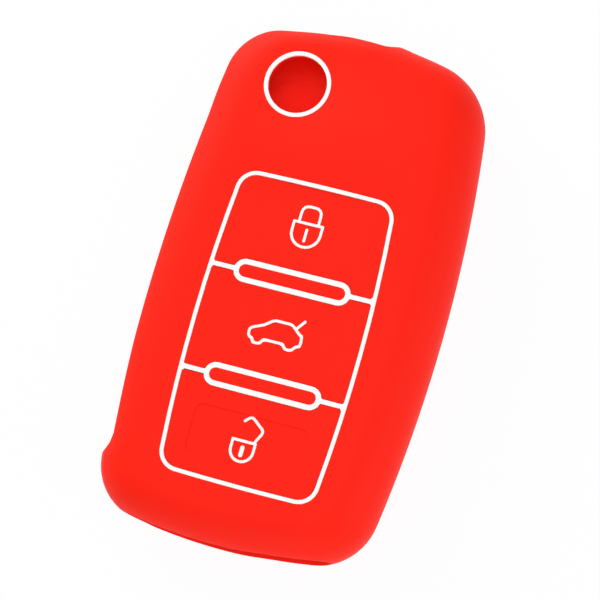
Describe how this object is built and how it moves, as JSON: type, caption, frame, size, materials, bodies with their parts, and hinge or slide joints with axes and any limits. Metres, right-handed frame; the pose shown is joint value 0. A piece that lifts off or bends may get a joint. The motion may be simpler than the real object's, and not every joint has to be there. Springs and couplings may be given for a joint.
{
  "type": "key fob cover",
  "caption": "Soft silicone sleeve for a folding car key fob, with a release window, side and key-ring slots, and sprung button pads with white pictograms.",
  "frame": {"origin": "middle of the base, with the cover lying on its flat back", "axes": "+Z out of the button face, +Y along the body towards the release window, +X towards the closed grip side"},
  "size_m": [0.045, 0.079, 0.0175],
  "materials": {
    "cover_silicone": "satin moulded silicone, signal red",
    "pad_silicone": "satin moulded silicone, signal red",
    "web_silicone": "thin matt silicone, signal red",
    "white_silicone": "satin silicone, white"
  },
  "bodies": {
    "cover": {"shell": "cover_silicone", "release_ring": "white_silicone", "button_frame": "white_silicone", "lock_web": "web_silicone", "boot_web": "web_silicone", "unlock_web": "web_silicone"},
    "lock_key": {"lock_pad": "pad_silicone", "lock_symbol": "white_silicone", "lock_keyway": "white_silicone"},
    "boot_key": {"boot_pad": "pad_silicone", "boot_symbol": "white_silicone"},
    "unlock_key": {"unlock_pad": "pad_silicone", "unlock_symbol": "white_silicone", "unlock_keyway": "white_silicone"}
  },
  "joints": [
    {"name": "lock_press", "type": "slide", "parent": "cover", "child": "lock_key", "axis": [0, 0, -1], "range_m": [0, 0.0006], "stiffness_N_per_m": 1500, "deforming": ["lock_web"]},
    {"name": "boot_press", "type": "slide", "parent": "cover", "child": "boot_key", "axis": [0, 0, -1], "range_m": [0, 0.0006], "stiffness_N_per_m": 1500, "deforming": ["boot_web"]},
    {"name": "unlock_press", "type": "slide", "parent": "cover", "child": "unlock_key", "axis": [0, 0, -1], "range_m": [0, 0.0006], "stiffness_N_per_m": 1500, "deforming": ["unlock_web"]}
  ]
}
